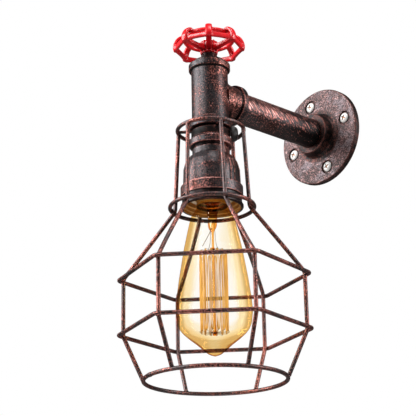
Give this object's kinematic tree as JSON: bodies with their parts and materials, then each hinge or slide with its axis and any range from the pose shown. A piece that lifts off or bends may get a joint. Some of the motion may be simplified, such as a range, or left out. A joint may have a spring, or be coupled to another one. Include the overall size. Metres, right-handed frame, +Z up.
{
  "type": "pipe wall light",
  "caption": "Wall light of iron pipe fittings: round wall flange, short pipe, tee with a valve handwheel, and a hanging lamp holder with a flared wire cage round a long-filament bulb.",
  "frame": {"origin": "centre of the flange's back face, on the wall", "axes": "+Y into the wall, +Z up, +X to the right for someone who faces the wall; the lamp hangs at y = -0.1417"},
  "size_m": [0.1518, 0.2314, 0.306],
  "materials": {
    "flange_iron": "speckled copper-grey wash over black, satin",
    "screw_zinc": "white zinc plate",
    "aged_iron": "black cast iron dry-brushed with a worn copper-red tone, satin",
    "wheel_red": "bright red gloss enamel",
    "nut_black": "black oxide with small speckles",
    "stem_steel": "plain turned steel",
    "plated_steel": "bright zinc",
    "knob_black": "dark moulded, speckled",
    "holder_iron": "black cast iron dry-brushed with a worn copper-red tone, heavier at the ribs",
    "porcelain": "glazed white porcelain",
    "socket_brass": "bright",
    "block_plastic": "white nylon",
    "lead_black": "black insulation, matte",
    "cage_wire": "dark brown with copper highlights, satin",
    "bulb_brass": "rolled thread, bright",
    "black_glass": "vitrite, black",
    "tip_solder": "solder",
    "amber_glass": "thin amber glass, clear",
    "stem_glass": "clear glass seen through the amber",
    "hook_wire": "molybdenum wire",
    "filament_carbon": "orange-tinted carbon strand"
  },
  "bodies": {
    "lamp": {"wall_flange": "flange_iron", "wall_screws": "screw_zinc", "support_pipe": "aged_iron", "pipe_tee": "aged_iron", "top_plug": "aged_iron", "stem_nut": "nut_black", "tee_bushing": "aged_iron", "lamp_nipple": "stem_steel", "nipple_locknuts": "plated_steel", "switch_housing": "aged_iron", "holder_cap": "holder_iron", "holder_shell": "holder_iron", "holder_skirt": "holder_iron", "socket_insulator": "porcelain", "socket_screw_shell": "socket_brass", "centre_contact": "socket_brass", "socket_terminals": "socket_brass", "connector_block": "block_plastic", "lamp_leads": "lead_black", "cage_top_ring": "cage_wire", "cage_spider": "cage_wire", "cage_neck_ring": "cage_wire", "cage_bottom_ring": "cage_wire", "cage_upper_hexagon": "cage_wire", "cage_lower_hexagon": "cage_wire", "bulb_cap": "bulb_brass", "bulb_cap_insulator": "black_glass", "bulb_tip_contact": "tip_solder", "bulb_glass": "amber_glass", "bulb_stem": "stem_glass", "filament_hooks": "hook_wire", "filament": "filament_carbon", "cage_upright_1": "cage_wire", "cage_upright_2": "cage_wire", "cage_upright_3": "cage_wire", "cage_upright_4": "cage_wire", "cage_upright_5": "cage_wire", "cage_upright_6": "cage_wire"},
    "wheel": {"valve_stem": "stem_steel", "handwheel": "wheel_red", "wheel_washer": "plated_steel", "wheel_nut": "nut_black"},
    "switch": {"switch_spindle": "stem_steel", "switch_knob": "knob_black"}
  },
  "joints": [
    {"name": "wheel_turn", "type": "hinge", "parent": "lamp", "child": "wheel", "pos_m": [0, -0.1417, 0.041], "axis": [0, 0, 1], "continuous": true},
    {"name": "switch_turn", "type": "hinge", "parent": "lamp", "child": "switch", "pos_m": [0, -0.1417, -0.0344], "axis": [0.7071, 0.7071, 0], "range_deg": [0, 90]}
  ]
}
